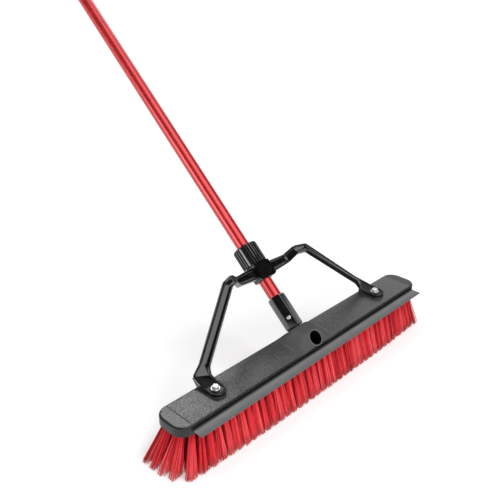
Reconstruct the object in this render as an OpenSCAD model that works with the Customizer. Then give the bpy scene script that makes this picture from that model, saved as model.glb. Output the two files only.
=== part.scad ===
// Push broom with a braced steel handle.
// The origin is on the floor under the middle of the head: X runs along the head,
// Y points to the back, where the handle leans, and Z points up.

/* [Head block] */
// Length of the head block
block_l = 610; // [500:1:760]
// Width of the head block at its underside
block_w = 64; // [62:1:80]
// Height of the block from its underside to its crown
block_h = 16; // [15:0.5:20]
// How far the top falls from the crown to the long edges
crown_drop = 0.8; // [0.5:0.1:3]
// Corner radius of the block seen from above
corner_r = 22; // [14:1:26]
// Radius of the rounded upper edges
edge_r = 3; // [2:0.5:7]
// Distance from each end to the step where the top panel stops
end_panel = 23; // [12:1:40]

/* [Handle sockets] */
// Angle of the handle above the floor
handle_tilt = 42; // [38:1:51]
// Distance of the middle of each socket's mouth inside the block's long edge
mouth_in = 9.5; // [8:0.5:14]
// Height of the middle of each mouth above the block's underside
mouth_h = 25.3; // [24:0.1:30]
// Bore of the sockets
socket_d = 19.4; // [16:0.1:21]
// Depth of the sockets along their axis
socket_depth = 20; // [14:0.5:21]
// Width of the countersink round the mouth
mouth_bevel = 1.6; // [0.8:0.1:2.5]
// Half length of the saddle along the block, at its foot
saddle_l = 50; // [40:1:90]

/* [Bristles] */
// Free length of the bristles
bristle_l = 71; // [45:1:90]
// Plain strip left along each long edge of the underside, beside the rows
row_margin = 2; // [1.5:0.1:4]
// Distance between tufts in a row
tuft_pitch = 15.5; // [13:0.1:18]
// Least plain length left at each end of the longest rows
tuft_margin = 10; // [8:0.5:20]
// Diameter of a tuft at its root
tuft_d = 8; // [5:0.5:10]
// Depth of a tuft at its tip, front to back
tip_depth = 13; // [8:0.5:15]
// How many times wider the rows stand at the tips than at the roots
row_spread = 1.55; // [1.3:0.05:1.8]
// How far the outermost tufts lean past their roots
fan_reach = 33; // [0:1:44]
// How much less the outer rows fan out than the middle one
fan_fade = 0.3; // [0:0.05:1]
// Length at each end over which the tufts fan out
fan_l = 95; // [40:1:140]
// Thickness of the backing slice that carries a row
slice_t = 2.5; // [1.5:0.1:2.8]
// Gap between strands at the tips
tip_gap = 0.7; // [0.3:0.1:2]

/* [Squeegee strip] */
// Distance from each end of the block to the strip's end
blade_margin = 21; // [12:1:60]
// How far the strip stands out of the block
blade_reach = 19.5; // [8:0.5:30]
// Thickness of the strip at the block
blade_t = 3; // [2:0.1:4]
// Thickness of the strip at its edge
blade_edge_t = 2.2; // [1.5:0.1:3]
// Height of the strip above the block's underside
blade_z = 7.2; // [6.8:0.1:9]
// Diameter of the bead that holds the strip
bead_d = 5.6; // [4.5:0.1:6.5]
// Depth of the bead's middle behind the block's face
bead_in = 8; // [6:0.5:10]

/* [Brace] */
// Distance of each foot screw from the middle of the block
foot_x = 208; // [150:1:270]
// Distance of the foot screws behind the middle of the block
foot_y = 2; // [-6:0.5:8]
// Thickness of the toe of each foot
toe_t = 4.4; // [3:0.1:6]
// Diameter of the toe of each foot
toe_d = 28; // [22:1:32]
// Distance of the middle of the toe's round end in front of the foot screw
toe_out = 3.5; // [0:0.5:6]
// Width of the lip round the toe
lip_w = 2.2; // [1.5:0.1:3]
// Height of the lip round the toe
lip_h = 1.4; // [0.6:0.1:2]
// Width of a foot at its heel
heel_w = 30; // [24:1:36]
// Height of the foot pad above the block's long edge
pad_h = 8; // [4:0.5:12]
// How far the heel stands out behind the block
heel_over = 4; // [0:0.5:8]
// Outward slope of the heel
heel_turn = 8; // [0:1:14]
// Distance along the handle from the socket's mouth to the brace's hub
hub_s = 97.6; // [85:0.5:140]
// Length of the hub along the handle
hub_l = 31.4; // [26:0.2:40]
// Wall of the hub and of its threaded neck, round the tube
hub_wall = 5.1; // [4.6:0.1:7]
// Width of the arms
arm_w = 18; // [15:0.5:22]
// Depth of the arms
arm_h = 9; // [7.5:0.5:12]
// Width of the rims along the arms
rim_w = 3; // [2.5:0.1:4]
// How much lower the outer edge of the arms' outer rim stands than its inner edge
rim_bevel = 4.5; // [0:0.5:5]
// Thickness of the web between the rims
web_t = 4; // [3:0.1:6]
// Distance from the handle's axis to where the arms kick up
kick_x = 64; // [54:1:70]
// Distance from the handle's axis to the top of the shoulder
shoulder_x = 82; // [74:1:88]
// Distance from the handle's axis to where the leg starts
leg_x = 98; // [90:1:120]
// Distance of the arms' back from the handle's axis, at the hub
arm_p = 4; // [2:0.5:8]
// Distance of the arms' back from the handle's axis, where the leg starts
shoulder_p = 26; // [16:0.5:30]

/* [Clamp nut] */
// Wall of the nut outside the threaded neck, ribs included
nut_wall = 5.8; // [4:0.1:8]
// Length of the nut
nut_l = 38; // [34:1:46]
// Length of the threaded neck
neck_l = 21; // [16:0.5:24]
// Number of places for ribs round the nut
rib_count = 26; // [18:2:36]
// Height of the ribs
rib_h = 1.3; // [0.6:0.1:2]
// Rib places left out at each smooth panel
panel_ribs = 3; // [1:2:5]
// Direction of the first smooth panel round the handle
panel_turn = -140; // [-180:1:180]
// Length of the collet
collet_l = 19; // [14:0.5:22]
// Width of the collet's slit
collet_slit = 2.4; // [1:0.1:4]

/* [Handle] */
// Length of the handle from the socket's mouth to its top end
handle_l = 1505; // [900:5:1850]
// Outside diameter of the tube
tube_d = 23.8; // [22:0.1:29]
// Wall of the tube
tube_wall = 0.9; // [0.6:0.1:2]
// Wall of the ferrule at its flats, round the tube
ferrule_wall = 2.4; // [1.8:0.1:4]
// Length of the ferrule
ferrule_l = 63.5; // [45:0.5:80]
// Length of the threaded stud
stud_l = 18.5; // [12:0.5:19]
// Thickness of the ferrule's floor, under the tube
ferrule_floor = 9; // [5:0.5:14]
// Turn of the ferrule round the handle's axis
ferrule_turn = 19.3; // [-30:0.1:30]
// Distance of the ferrule screw from the ferrule's lower end
screw_s = 19.5; // [14:0.5:40]
// Diameter of the ferrule screw's head
screw_head_d = 7.6; // [5:0.1:9]
// Diameter of the ferrule screw's shank
screw_d = 3.5; // [2.5:0.1:4.5]
// Length of the end cap's sleeve
cap_sleeve = 30; // [18:1:45]
// Thickness of the end cap above the tube
cap_end = 8; // [4:0.5:14]
// Wall of the end cap's sleeve
cap_wall = 1.6; // [1:0.1:3]
// Radius of the end cap's rounded edge
cap_round = 6; // [2:0.5:8]

/* [Fasteners] */
// Diameter of the foot screws
bolt_d = 6; // [5:0.5:8]
// Length of the foot screws under the head
bolt_l = 17; // [14:0.5:18]
// Width across flats of the screw heads
bolt_af = 10; // [8:0.5:13]
// Height of the screw heads
bolt_head_h = 4.6; // [3:0.1:6]
// Diameter of the washers
washer_d = 15; // [12:0.5:18]
// Thickness of the washers
washer_t = 1.4; // [0.8:0.1:2]
// Diameter of the threaded inserts
insert_d = 10; // [8:0.5:12]
// Length of the threaded inserts
insert_l = 10; // [7:0.5:10.5]

/* [Clearances] */
// Gap between pieces that move past each other
run_gap = 0.3; // [0.2:0.05:0.5]
// Gap between pieces that are fitted together and stay still
seat_gap = 0.12; // [0.05:0.01:0.3]

/* [Hidden] */
$fn = 64;

over = 1;
under_z = bristle_l;
crown_z = under_z + block_h;
edge_z = crown_z - crown_drop;
mouth_y = block_w / 2 - mouth_in;
mouth_z = under_z + mouth_h;
tube_r = tube_d / 2;
ferrule_af = tube_d + 2 * ferrule_wall;
mouth_d = socket_d + 2 * mouth_bevel;
hub_d = tube_d + 2 * hub_wall;
neck_d = hub_d;
nut_d = neck_d + 2 * nut_wall;
hub_bore_r = tube_r + run_gap;
nut_s = hub_s + hub_l + run_gap;
neck_top_s = hub_s + hub_l + neck_l;
seat_depth = 6;
seat_grow = 3;
toe_y = foot_y - toe_out;
toe_z = crown_z + 0.6;
washer_z = toe_z + toe_t;
bolt_tip_z = washer_z + washer_t - bolt_l;
face_turn = ferrule_turn + 210;
block_face_y = block_w / 2;
blade_l = block_l - 2 * blade_margin;
rows = [-2, -1, 0, 1, 2];
row_pitch = (block_w - 2 * row_margin) / len(rows);
tufts_long = floor((block_l - 2 * tuft_margin) / tuft_pitch);

// Unit vector along v
function unit(v) = v / norm(v);

// Point at distance s up the handle from the rear socket's mouth, p in front of the axis, x to the side
function by_handle(x, s, p) = [
    x,
    mouth_y + s * cos(handle_tilt) - p * sin(handle_tilt),
    mouth_z + s * sin(handle_tilt) + p * cos(handle_tilt)
];

// Points of an arc with middle c and radius r, from angle a0 to a1 in n steps
function arc(c, r, a0, a1, n) = [for (i = [0:n]) let (a = a0 + (a1 - a0) * i / n) c + r * [cos(a), sin(a)]];

// Two triangles for a face with four corners
function triangles(q) = [[q[0], q[1], q[2]], [q[0], q[2], q[3]]];

// Local frame of the handle: z runs up the handle from the socket's mouth
module on_handle() {
    translate([0, mouth_y, mouth_z])
        rotate([handle_tilt - 90, 0, 0])
            children();
}

// Copy to the other end of the head
module both_ends() {
    children();
    mirror([1, 0, 0])
        children();
}

// Rounded rectangle with true corner arcs
module rounded_rect(l, w, r) {
    square([l - 2 * r, w], center = true);
    square([l, w - 2 * r], center = true);
    for (sx = [-1, 1], sy = [-1, 1])
        translate([sx * (l / 2 - r), sy * (w / 2 - r)])
            circle(r = r);
}

// Half of the block's cross section, from the wall to the crown
function half_section(w) = let (
    c = [w / 2 - edge_r, edge_z - edge_r],
    round_top = arc(c, edge_r, 0, 84, 7),
    crown = [for (i = [1:5]) let (u = 1 - i / 6) [c[0] * u, crown_z - crown_drop * u * u]]
) concat([[w / 2, under_z]], round_top, crown);

function mirrored(half) = concat(half, [for (i = [len(half) - 1:-1:0]) [-half[i][0], half[i][1]]]);

// Extrude a section drawn in Y and Z along X
module along_x(l) {
    rotate([90, 0, 90])
        translate([0, 0, -l / 2])
            linear_extrude(height = l)
                children();
}

// Slab with rounded corners and rounded upper edges
module soft_slab(l, w, r, e, z0, z1) {
    translate([0, 0, z0])
        linear_extrude(height = z1 - e - z0)
            rounded_rect(l, w, r);
    translate([0, 0, z0])
        linear_extrude(height = z1 - z0)
            rounded_rect(l - 2 * e, w - 2 * e, r - e);
    for (side = [-1, 1]) {
        translate([0, side * (w / 2 - e), z1 - e])
            rotate([0, 90, 0])
                cylinder(r = e, h = l - 2 * r, center = true);
        translate([side * (l / 2 - e), 0, z1 - e])
            rotate([90, 0, 0])
                cylinder(r = e, h = w - 2 * r, center = true);
    }
    for (sx = [-1, 1], sy = [-1, 1])
        translate([sx * (l / 2 - r), sy * (w / 2 - r), z1 - e])
            rotate_extrude()
                translate([r - e, 0])
                    intersection() {
                        circle(r = e);
                        translate([0, -e])
                            square(2 * e);
                    }
}

// Moulded body of the block: smooth rounded ends and a crowned panel between them
module block_body() {
    soft_slab(block_l, block_w, corner_r, edge_r, under_z, edge_z);
    along_x(block_l - 2 * end_panel)
        polygon(mirrored(half_section(block_w)));
}

// Height of the block's top at distance y from the middle
function top_z(y) = let (flat = block_w / 2 - edge_r, over_edge = max(0, abs(y) - flat))
    over_edge > 0 ? edge_z - edge_r + sqrt(edge_r * edge_r - over_edge * over_edge)
                  : crown_z - crown_drop * pow(y / flat, 2);

// Share of the saddle's full height at distance x from the middle, falling in a smooth curve
function saddle_share(x) = let (
    flat = mouth_d / 2 + 2,
    u = min(1, max(0, (abs(x) - flat) / (saddle_l - flat)))
) (1 + cos(180 * u)) / 2;

// Half of the saddle's section at full height: a flat crown, a soft edge and the mouth's plane
function saddle_half() = let (
    collar = mouth_d / 2 + 1.2,
    rise = [-sin(handle_tilt), cos(handle_tilt)],
    mouth = [mouth_y, mouth_z],
    upper = mouth + collar * rise,
    lower = mouth - min(collar, (mouth_in - 0.6) / sin(handle_tilt)) * rise
) [
    [0, upper[1] + 0.5], [upper[0] * 0.5, upper[1] + 0.4],
    [upper[0] - 2.4, upper[1] + 0.2], [upper[0] - 1, upper[1] - 0.2],
    upper - 1.1 * rise, mouth + 4 * rise, mouth - 4 * rise, lower
];

// Solid under a grid of heights: z[i][j] stands over xs[i] and ys[j], and the base is flat at z0
module height_solid(xs, ys, z, z0) {
    nx = len(xs) - 1;
    ny = len(ys) - 1;
    m = ny + 1;
    b = (nx + 1) * m;
    points = concat(
        [for (i = [0:nx], j = [0:ny]) [xs[i], ys[j], z[i][j]]],
        [[xs[0], ys[0], z0], [xs[nx], ys[0], z0], [xs[nx], ys[ny], z0], [xs[0], ys[ny], z0]]
    );
    skin = [for (i = [0:nx - 1], j = [0:ny - 1]) let (q = i * m + j)
        each triangles([q, q + 1, q + m + 1, q + m])];
    front = [for (i = [0:nx - 1]) [b, i * m, (i + 1) * m]];
    back = [for (i = [0:nx - 1]) [b + 2, (i + 1) * m + ny, i * m + ny]];
    left = [for (j = [0:ny - 1]) [b + 3, j + 1, j]];
    right = [for (j = [0:ny - 1]) [b + 1, nx * m + j, nx * m + j + 1]];
    rest = [
        [b, nx * m, b + 1], [b + 2, ny, b + 3], [b + 3, 0, b], [b + 1, nx * m + ny, b + 2],
        [b, b + 1, b + 2], [b, b + 2, b + 3]
    ];
    polyhedron(points = points, faces = concat(skin, front, back, left, right, rest));
}

// Saddle at mid-length that carries both sockets and melts into the block's top
module saddle() {
    half = saddle_half();
    last = len(half) - 1;
    section = concat([for (i = [last:-1:1]) [-half[i][0], half[i][1]]], half);
    steps = 14;
    sunk = 0.4;
    xs = [for (i = [-steps:steps]) saddle_l * i / steps];
    ys = [for (q = section) q[0]];
    heights = [for (x = xs) [for (q = section) let (low = top_z(q[0]) - sunk)
        low + saddle_share(x) * (q[1] - low)]];
    height_solid(xs, ys, heights, under_z + block_h / 2);
}

// Socket along the handle's axis, with a countersunk mouth
module socket_cut() {
    on_handle() {
        translate([0, 0, -socket_depth])
            cylinder(d = socket_d, h = socket_depth + over);
        translate([0, 0, -(mouth_d - socket_d) / 2])
            cylinder(d1 = socket_d, d2 = mouth_d, h = (mouth_d - socket_d) / 2);
    }
}

// Wedge that backs the heel of a foot, under the foot's own underside, and the flat spot under its toe
module foot_pad() {
    sections = arm_sections();
    heel = sections[len(sections) - 3];
    front = sections[len(sections) - 2];
    drop = [0, 0, -2 * seat_gap];
    upper = [heel[0] + drop, heel[1] + drop, front[1] + drop, front[0] + drop];
    low_z = under_z + block_h / 2;
    inside = block_face_y - 1;
    lower = [for (q = upper) [q[0], min(q[1], inside), low_z]];
    sides = [for (i = [0:3]) let (j = (i + 1) % 4) each triangles([j, i, i + 4, j + 4])];
    ends = [[0, 1, 2], [0, 2, 3], [4, 6, 5], [4, 7, 6]];
    polyhedron(points = concat(upper, lower), faces = concat(ends, sides));
    translate([foot_x, toe_y, low_z])
        cylinder(d = toe_d + 2, h = toe_z - low_z);
}

// Keyhole section of the strip, grown by a gap for its slot
module blade_section(gap) {
    face = -block_face_y;
    translate([face + bead_in, under_z + blade_z])
        circle(d = bead_d + 2 * gap);
    t0 = blade_t / 2 + gap;
    t1 = blade_edge_t / 2 + gap;
    translate([face, under_z + blade_z])
        polygon([[bead_in, -t0], [bead_in, t0], [-blade_reach, t1], [-blade_reach, -t1]]);
}

// Half length of a backing slice
function row_half(row) = tuft_pitch * (tufts_long - (row % 2 == 0 ? 1 : 0)) / 2;

module block() {
    groove_h = 3.6;
    color([0.33, 0.33, 0.34])
        difference() {
            union() {
                block_body();
                saddle();
                both_ends()
                    foot_pad();
            }
            for (side = [0, 1])
                mirror([0, side, 0])
                    socket_cut();
            along_x(blade_l + 2 * seat_gap)
                blade_section(seat_gap);
            translate([-blade_l / 2, -block_face_y - over, under_z + blade_z + blade_t / 2 + 0.6])
                cube([blade_l, over + 2, groove_h]);
            for (row = rows)
                translate([0, row * row_pitch, under_z])
                    cube(
                        [2 * row_half(row) + 2 * seat_gap, row_pitch + 2 * seat_gap, 2 * slice_t],
                        center = true
                    );
            both_ends()
                translate([foot_x, foot_y, bolt_tip_z - 0.5])
                    cylinder(d = bolt_d + 2 * seat_gap, h = bolt_l);
            both_ends()
                translate([foot_x, foot_y, toe_z - insert_l - seat_gap])
                    cylinder(d = insert_d + 2 * seat_gap, h = insert_l + seat_gap + over);
        }
}

module squeegee_blade() {
    color([0.5, 0.51, 0.52])
        along_x(blade_l)
            blade_section(0);
}

// Where a point of a row at x stands at the tips: the ends fan outwards, the outer rows less so
function fanned(x, row) = let (
    reach = fan_reach * (1 - fan_fade * pow(row / 2, 2)),
    start = tuft_pitch * tufts_long / 2 - fan_l,
    u = max(0, abs(x) - start) / fan_l
) x + sign(x) * reach * u * u;

// One row: pairs of four-sided strands that spread from each root, fused to a slice of the backing
module bristle_row(row) {
    y = row * row_pitch;
    y_tip = y * row_spread;
    tufts = tufts_long - (row % 2 == 0 ? 1 : 0);
    n = 2 * tufts;
    half = tuft_pitch / 2;
    z0 = under_z;
    x_at = [for (j = [0:n]) (j - tufts) * half];
    root_d = tuft_d / 2;
    front_edge = [for (x = x_at) [x, y - row_pitch / 2, z0]];
    back_edge = [for (x = x_at) [x, y + row_pitch / 2, z0]];
    top = [for (c = [[0, -1], [n, -1], [n, 1], [0, 1]]) [x_at[c[0]], y + c[1] * row_pitch / 2, z0 + slice_t]];
    roots = [for (j = [0:n - 1]) let (
        left = j % 2 == 0,
        mid = left ? x_at[j + 1] : x_at[j],
        a = left ? mid - root_d : mid + seat_gap,
        b = left ? mid - seat_gap : mid + root_d
    ) each [[a, y - root_d, z0], [b, y - root_d, z0], [b, y + root_d, z0], [a, y + root_d, z0]]];
    tips = [for (j = [0:n - 1]) let (
        a = fanned(x_at[j], row) + tip_gap / 2,
        b = fanned(x_at[j + 1], row) - tip_gap / 2,
        y0 = y_tip - tip_depth / 2,
        y1 = y_tip + tip_depth / 2
    ) each [[a, y0, 0], [b, y0, 0], [b, y1, 0], [a, y1, 0]]];
    back0 = n + 1;
    top0 = 2 * (n + 1);
    root0 = top0 + 4;
    tip0 = root0 + 4 * n;
    cells = [for (j = [0:n - 1]) let (
        r = root0 + 4 * j,
        t = tip0 + 4 * j,
        f0 = j,
        f1 = j + 1,
        b0 = back0 + j,
        b1 = back0 + j + 1
    ) each concat(
        triangles([f0, f1, r + 1, r]),
        triangles([f1, b1, r + 2, r + 1]),
        triangles([b1, b0, r + 3, r + 2]),
        triangles([b0, f0, r, r + 3]),
        [for (k = [0:3]) let (m = (k + 1) % 4) each triangles([r + k, r + m, t + m, t + k])],
        triangles([t, t + 1, t + 2, t + 3]),
        [[top0, f1, f0], [top0 + 2, b0, b1]]
    )];
    shell = concat(
        [[top0, top0 + 1, n], [top0 + 2, top0 + 3, back0]],
        triangles([top0 + 3, top0, 0, back0]),
        triangles([top0 + 1, top0 + 2, back0 + n, n]),
        triangles([top0, top0 + 3, top0 + 2, top0 + 1])
    );
    color([0.8, 0.13, 0.18])
        polyhedron(points = concat(front_edge, back_edge, top, roots, tips), faces = concat(cells, shell));
}

module bristles_front() {
    bristle_row(-2);
}

module bristles_front_mid() {
    bristle_row(-1);
}

module bristles_middle() {
    bristle_row(0);
}

module bristles_rear_mid() {
    bristle_row(1);
}

module bristles_rear() {
    bristle_row(2);
}

// Section of an arm: a channel with its back at a point, w wide,
// whose rims stand h towards n on a web t thick, with a bevel on the outer rim
function channel(at, across, n, w, h, t, bevel) = let (
    rim = min(rim_w, w / 4),
    p = [
        [-w / 2, 0], [w / 2, 0], [w / 2, h - bevel], [w / 2 - rim, h],
        [w / 2 - rim - 0.5, t], [rim + 0.5 - w / 2, t], [rim - w / 2, h], [-w / 2, h]
    ]
) [for (q = p) at + q[0] * across + q[1] * n];

// Solid through a list of channel sections
module channel_arm(sections) {
    k = 8;
    m = len(sections);
    last = (m - 1) * k;
    sides = [for (i = [0:m - 2], j = [0:k - 1]) let (a = i * k, b = a + k, q = (j + 1) % k)
        each triangles([a + j, b + j, b + q, a + q])];
    quads = [[0, 5, 6, 7], [0, 1, 4, 5], [1, 2, 3, 4]];
    start_cap = [for (q = quads) each triangles(q)];
    end_cap = [for (q = quads) each triangles([for (i = [3:-1:0]) q[i] + last])];
    polyhedron(points = [for (s = sections) each s], faces = concat(sides, start_cap, end_cap));
}

// Stations of the right arm: middle of its back, the way it faces, width, depth, web and bevel.
// The facing is given by its tilt to the front and its turn outwards.
function arm_stations() = let (
    mid_s = hub_s + hub_l / 2,
    pad_run = block_face_y + heel_over - toe_y - toe_d / 2,
    pad_tilt = atan((edge_z + pad_h - toe_z) / pad_run),
    heel = [foot_x - 3, block_face_y + heel_over, edge_z + pad_h + seat_gap],
    toe_back = [foot_x, toe_y + toe_d / 2 + 0.6, toe_z + 2 * seat_gap],
    leg_top = by_handle(leg_x, mid_s, shoulder_p),
    leg_dir = unit(heel - leg_top),
    cut = rim_bevel
) [
    [by_handle(hub_d / 2 - 5, mid_s, arm_p), handle_tilt, 0, arm_w + 6, arm_h + 3, web_t + 3, cut],
    [by_handle(kick_x, mid_s + 1.5, arm_p), handle_tilt, 0, arm_w + 0.5, arm_h + 2, web_t + 2, cut],
    [by_handle(shoulder_x, mid_s + 5, shoulder_p - 5), handle_tilt, 4, arm_w, arm_h + 1, web_t + 1, cut],
    [leg_top, handle_tilt + 2, 15, arm_w, arm_h, web_t, cut],
    [heel - 17 * leg_dir, 29, 28, arm_w + 1.5, arm_h, web_t, cut],
    [heel, pad_tilt, heel_turn, heel_w, toe_t + 2, web_t, cut / 3],
    [toe_back, pad_tilt / 2, 0, toe_d, toe_t + lip_h, toe_t - 4 * seat_gap, 0],
    [[foot_x, toe_y, toe_z + seat_gap], 0, 0, toe_d, toe_t + lip_h - seat_gap, toe_t - seat_gap, 0]
];

// Direction of the path at station i
function heading(st, i) = unit(
    (i == 0 ? [0, 0, 0] : unit(st[i][0] - st[i - 1][0])) +
    (i == len(st) - 1 ? [0, 0, 0] : unit(st[i + 1][0] - st[i][0]))
);

// Sections of the right arm, from the hub to the toe
function arm_sections() = let (st = arm_stations()) [for (i = [0:len(st) - 1]) let (
    tilt = st[i][1],
    turn = st[i][2],
    lean = [sin(turn), -cos(turn) * sin(tilt), cos(turn) * cos(tilt)],
    along = heading(st, i),
    across = unit(cross(lean, along)),
    n = i > len(st) - 3 ? lean : unit(cross(along, across))
) channel(st[i][0], across, n, st[i][3], st[i][4], st[i][5], st[i][6])];

module brace_arm() {
    channel_arm(arm_sections());
    translate([foot_x, toe_y, toe_z + seat_gap])
        cylinder(d = toe_d, h = toe_t - seat_gap);
    translate([foot_x, toe_y, toe_z + toe_t - over])
        difference() {
            cylinder(d = toe_d, h = over + lip_h);
            cylinder(d = toe_d - 2 * lip_w, h = 2 * over + lip_h);
            translate([-toe_d, 0, 0])
                cube([2 * toe_d, toe_d, 2 * over + lip_h]);
        }
}

module brace() {
    color([0.06, 0.06, 0.065])
        difference() {
            union() {
                both_ends()
                    brace_arm();
                on_handle() {
                    translate([0, 0, hub_s])
                        cylinder(d = hub_d, h = hub_l);
                    translate([0, 0, hub_s])
                        cylinder(d = neck_d - 2 * run_gap, h = hub_l + neck_l);
                    translate([-hub_d / 2 + 1.5, -hub_d / 2, hub_s])
                        cube([hub_d - 3, hub_d / 2, hub_l]);
                    for (side = [-1, 1])
                        translate([side * hub_d / 2 - 1.2, -hub_d / 2 - 0.8, hub_s + 1])
                            cube([2.4, hub_d * 0.75, hub_l - 2]);
                }
            }
            on_handle() {
                translate([0, 0, hub_s - over])
                    cylinder(r = hub_bore_r, h = hub_l + neck_l + 2 * over);
                translate([0, 0, neck_top_s - seat_depth])
                    cylinder(r1 = hub_bore_r, r2 = hub_bore_r + seat_grow, h = seat_depth);
            }
            both_ends()
                translate([foot_x, foot_y, toe_z - over])
                    cylinder(d = bolt_d + 4 * seat_gap, h = toe_t + 3 * over);
        }
}

module brace_screws() {
    color([0.86, 0.86, 0.84])
        both_ends()
            translate([foot_x, foot_y, washer_z + washer_t]) {
                cylinder(d = bolt_af * 2 / sqrt(3), h = bolt_head_h - 0.8, $fn = 6);
                intersection() {
                    cylinder(d = bolt_af * 2 / sqrt(3), h = bolt_head_h, $fn = 6);
                    cylinder(d1 = bolt_af * 2 / sqrt(3) + 6, d2 = bolt_af - 1, h = bolt_head_h);
                }
                translate([0, 0, -bolt_l])
                    cylinder(d = bolt_d, h = bolt_l);
            }
}

module brace_washers() {
    color([0.8, 0.8, 0.79])
        both_ends()
            translate([foot_x, foot_y, washer_z])
                difference() {
                    cylinder(d = washer_d, h = washer_t);
                    translate([0, 0, -over])
                        cylinder(d = bolt_d + 4 * seat_gap, h = washer_t + 2 * over);
                }
}

module screw_inserts() {
    color([0.72, 0.58, 0.3])
        both_ends()
            translate([foot_x, foot_y, toe_z - insert_l])
                difference() {
                    cylinder(d = insert_d, h = insert_l);
                    translate([0, 0, -over])
                        cylinder(d = bolt_d + 2 * seat_gap, h = insert_l + 2 * over);
                }
}

// Wall of the collet, from its lower nose to its top, in radius and height
function collet_wall() = let (r = tube_r + run_gap / 3) [
    [r, 0], [r + 0.5, 0], [r + 2.8, seat_depth - 1.2],
    [r + 3.4, seat_depth + 1], [r + 1.2, collet_l], [r, collet_l]
];

collet_s = neck_top_s - seat_depth + 1.2;

module clamp_collet() {
    color([0.16, 0.16, 0.17])
        on_handle()
            translate([0, 0, collet_s])
                difference() {
                    rotate_extrude()
                        polygon(collet_wall());
                    translate([0, -collet_slit / 2, -over])
                        cube([tube_d, collet_slit, collet_l + 2 * over]);
                }
}

module clamp_nut() {
    r = nut_d / 2 - rib_h;
    chamfer = 3;
    grip = neck_top_s - nut_s + run_gap;
    taper_s = collet_s + seat_depth + 1 - nut_s;
    taper_top = collet_s + collet_l - nut_s;
    color([0.1, 0.1, 0.105])
        on_handle()
            translate([0, 0, nut_s])
                difference() {
                    intersection() {
                        union() {
                            cylinder(r = r, h = nut_l);
                            for (i = [0:rib_count - 1])
                                if (i % (rib_count / 2) >= panel_ribs)
                                    rotate([0, 0, panel_turn + (i - (panel_ribs - 1) / 2) * 360 / rib_count])
                                        translate([r, 0, 0])
                                            cylinder(r = rib_h, h = nut_l, $fn = 24);
                        }
                        rotate_extrude()
                            polygon([
                                [0, 0], [r + rib_h - 0.8, 0], [r + rib_h, 0.8], [r + rib_h, nut_l - chamfer],
                                [r + rib_h - 1, nut_l - 1], [r + rib_h - chamfer, nut_l], [0, nut_l]
                            ]);
                    }
                    translate([0, 0, -over])
                        cylinder(d = neck_d + run_gap, h = grip + over);
                    rotate_extrude()
                        polygon([
                            [0, grip - 0.1], [neck_d / 2 + run_gap / 2, grip - 0.1],
                            [tube_r + run_gap / 3 + 3.4 + run_gap, taper_s + run_gap],
                            [tube_r + run_gap / 3 + 1.2 + run_gap, taper_top + run_gap],
                            [tube_r + run_gap, taper_top + run_gap],
                            [tube_r + run_gap, nut_l + over], [0, nut_l + over]
                        ]);
                }
}

module handle_tube() {
    foot = ferrule_floor + run_gap;
    color([0.75, 0.1, 0.12])
        on_handle()
            difference() {
                translate([0, 0, foot])
                    cylinder(d = tube_d, h = handle_l - cap_end - foot);
                translate([0, 0, foot - over])
                    cylinder(r = tube_r - tube_wall, h = handle_l + 2 * over);
                screw_hole();
            }
}

// Line of the ferrule screw, from the axis outwards
module by_screw() {
    translate([0, 0, screw_s + run_gap])
        rotate([0, 90, face_turn])
            children();
}

module screw_hole() {
    by_screw()
        cylinder(d = screw_d + 2 * seat_gap, h = ferrule_af);
}

module handle_ferrule() {
    corner = ferrule_af / sqrt(3);
    soft = 2;
    color([0.13, 0.13, 0.135])
        on_handle()
            difference() {
                union() {
                    intersection() {
                        translate([0, 0, run_gap])
                            rotate([0, 0, ferrule_turn])
                                cylinder(r = corner, h = ferrule_l, $fn = 6);
                        translate([0, 0, run_gap])
                            rotate_extrude()
                                polygon([
                                    [0, 0], [corner - soft, 0], [corner + 0.2, soft],
                                    [corner + 0.2, ferrule_l - soft], [corner - soft, ferrule_l],
                                    [0, ferrule_l]
                                ]);
                    }
                    translate([0, 0, -stud_l])
                        cylinder(d = socket_d - 2 * run_gap, h = stud_l + over);
                }
                translate([0, 0, ferrule_floor + run_gap])
                    cylinder(d = tube_d + 2 * seat_gap, h = ferrule_l);
                screw_hole();
            }
}

module ferrule_screw() {
    face = ferrule_af / 2;
    head = 2;
    color([0.86, 0.86, 0.84])
        on_handle()
            by_screw() {
                translate([0, 0, tube_r - 6])
                    cylinder(d = screw_d, h = face - tube_r + 6 + seat_gap);
                translate([0, 0, face])
                    cylinder(d1 = screw_head_d, d2 = screw_head_d - 1.6, h = head);
            }
}

module handle_cap() {
    r = tube_r + seat_gap + cap_wall;
    base = handle_l - cap_end;
    color([0.08, 0.08, 0.085])
        on_handle()
            difference() {
                union() {
                    translate([0, 0, base - cap_sleeve])
                        cylinder(r = r, h = cap_sleeve + cap_end - cap_round);
                    translate([0, 0, handle_l - cap_round - over])
                        cylinder(r = r - cap_round, h = cap_round + over);
                    translate([0, 0, handle_l - cap_round])
                        rotate_extrude()
                            translate([r - cap_round, 0])
                                intersection() {
                                    circle(r = cap_round);
                                    translate([0, -cap_round])
                                        square(2 * cap_round);
                                }
                }
                translate([0, 0, base - cap_sleeve - over])
                    cylinder(d = tube_d + 2 * seat_gap, h = cap_sleeve + over + seat_gap);
            }
}

block();
squeegee_blade();
bristles_front();
bristles_front_mid();
bristles_middle();
bristles_rear_mid();
bristles_rear();
brace();
brace_screws();
brace_washers();
screw_inserts();
clamp_nut();
clamp_collet();
handle_tube();
handle_ferrule();
ferrule_screw();
handle_cap();
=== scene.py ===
import math
import random

import bpy
import bmesh
from mathutils import Matrix, Vector


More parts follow.
